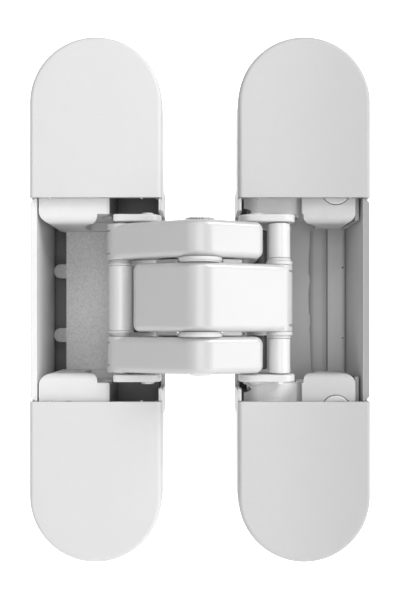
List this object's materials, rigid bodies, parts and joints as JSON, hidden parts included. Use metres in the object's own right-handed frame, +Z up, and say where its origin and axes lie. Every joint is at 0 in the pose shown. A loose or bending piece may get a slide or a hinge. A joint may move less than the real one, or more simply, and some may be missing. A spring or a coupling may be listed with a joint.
{
  "type": "concealed door hinge",
  "caption": "Concealed door hinge open flat: two slim round-ended leaves with covers, joined by scissor arms whose ends fold into the leaves on pins and short links.",
  "frame": {"origin": "middle of the frame leaf on the rear seat plane of its two end sections, between its fixing screws", "axes": "+Z up along the leaves and the pins, +Y into the door lining (away from the viewer), +X from the frame leaf to the door leaf with the hinge open flat"},
  "size_m": [0.0731, 0.0326, 0.1126],
  "materials": {
    "casting": "light silver paint on die-cast zinc, satin",
    "cover": "matte silver-grey lacquer, very fine grain",
    "carrier": "grey cast zinc, grainy matte",
    "arm": "smooth satin silver lacquer on die-cast zinc",
    "screw": "zinc-plated steel",
    "pin": "ground steel",
    "link": "stamped steel, deburred",
    "bearing": "grey low-friction plastic",
    "sleeve": "light grey low-friction plastic"
  },
  "bodies": {
    "frame_leaf": {"frame_shell": "casting", "frame_cover_top": "cover", "frame_cover_bottom": "cover", "frame_carrier": "carrier", "frame_clamp_screws": "screw", "frame_deep_pin": "pin", "frame_link_pins": "pin"},
    "middle_arm": {"middle_arm": "arm", "centre_pin": "pin", "centre_washers": "bearing", "door_moving_pin": "pin", "door_sleeve_upper": "sleeve", "door_sleeve_lower": "sleeve", "door_collars": "bearing"},
    "outer_arms": {"upper_outer_arm": "arm", "lower_outer_arm": "arm", "frame_moving_pin": "pin", "frame_sleeve": "sleeve", "frame_collars": "bearing"},
    "door_leaf": {"door_shell": "casting", "door_cover_top": "cover", "door_cover_bottom": "cover", "door_carrier": "carrier", "door_block_upper": "carrier", "door_block_lower": "carrier", "door_clamp_screws": "screw", "door_deep_pin": "pin", "door_deep_washers": "bearing", "door_link_pins": "pin"},
    "frame_link_upper": {"frame_link_upper": "link"},
    "frame_link_lower": {"frame_link_lower": "link"},
    "door_link_upper": {"door_link_upper": "link"},
    "door_link_lower": {"door_link_lower": "link"}
  },
  "joints": [
    {"name": "frame_pivot", "type": "hinge", "parent": "frame_leaf", "child": "middle_arm", "pos_m": [0.0088, -0.00008, 0.0003], "axis": [0, 0, -1], "range_deg": [0, 85.5]},
    {"name": "scissor_pivot", "type": "hinge", "parent": "middle_arm", "child": "outer_arms", "pos_m": [0.02235, -0.018, 0.0003], "axis": [0, 0, -1], "range_deg": [0, 9.01]},
    {"name": "door_pivot", "type": "hinge", "parent": "outer_arms", "child": "door_leaf", "pos_m": [0.0359, -0.00008, 0.0003], "axis": [0, 0, -1], "range_deg": [0, 85.51]},
    {"name": "frame_link_upper_pivot", "type": "hinge", "parent": "frame_leaf", "child": "frame_link_upper", "pos_m": [0.0103, -0.00162, 0.0174], "axis": [0, 0, -1], "range_deg": [0, 79.27]},
    {"name": "frame_link_lower_pivot", "type": "hinge", "parent": "frame_leaf", "child": "frame_link_lower", "pos_m": [0.0103, -0.00162, -0.0168], "axis": [0, 0, -1], "range_deg": [0, 79.27]},
    {"name": "door_link_upper_pivot", "type": "hinge", "parent": "door_leaf", "child": "door_link_upper", "pos_m": [0.0344, -0.00162, 0.0174], "axis": [0, 0, -1], "range_deg": [-79.27, 0]},
    {"name": "door_link_lower_pivot", "type": "hinge", "parent": "door_leaf", "child": "door_link_lower", "pos_m": [0.0344, -0.00162, -0.0168], "axis": [0, 0, -1], "range_deg": [-79.27, 0]}
  ],
  "couplings": [
    {"joint": "scissor_pivot", "follows": "frame_pivot", "ratio": 0.10526},
    {"joint": "door_pivot", "follows": "frame_pivot", "ratio": 1},
    {"joint": "frame_link_upper_pivot", "follows": "frame_pivot", "ratio": 0.92695},
    {"joint": "frame_link_lower_pivot", "follows": "frame_pivot", "ratio": 0.92695},
    {"joint": "door_link_upper_pivot", "follows": "frame_pivot", "ratio": -0.92695},
    {"joint": "door_link_lower_pivot", "follows": "frame_pivot", "ratio": -0.92695}
  ]
}
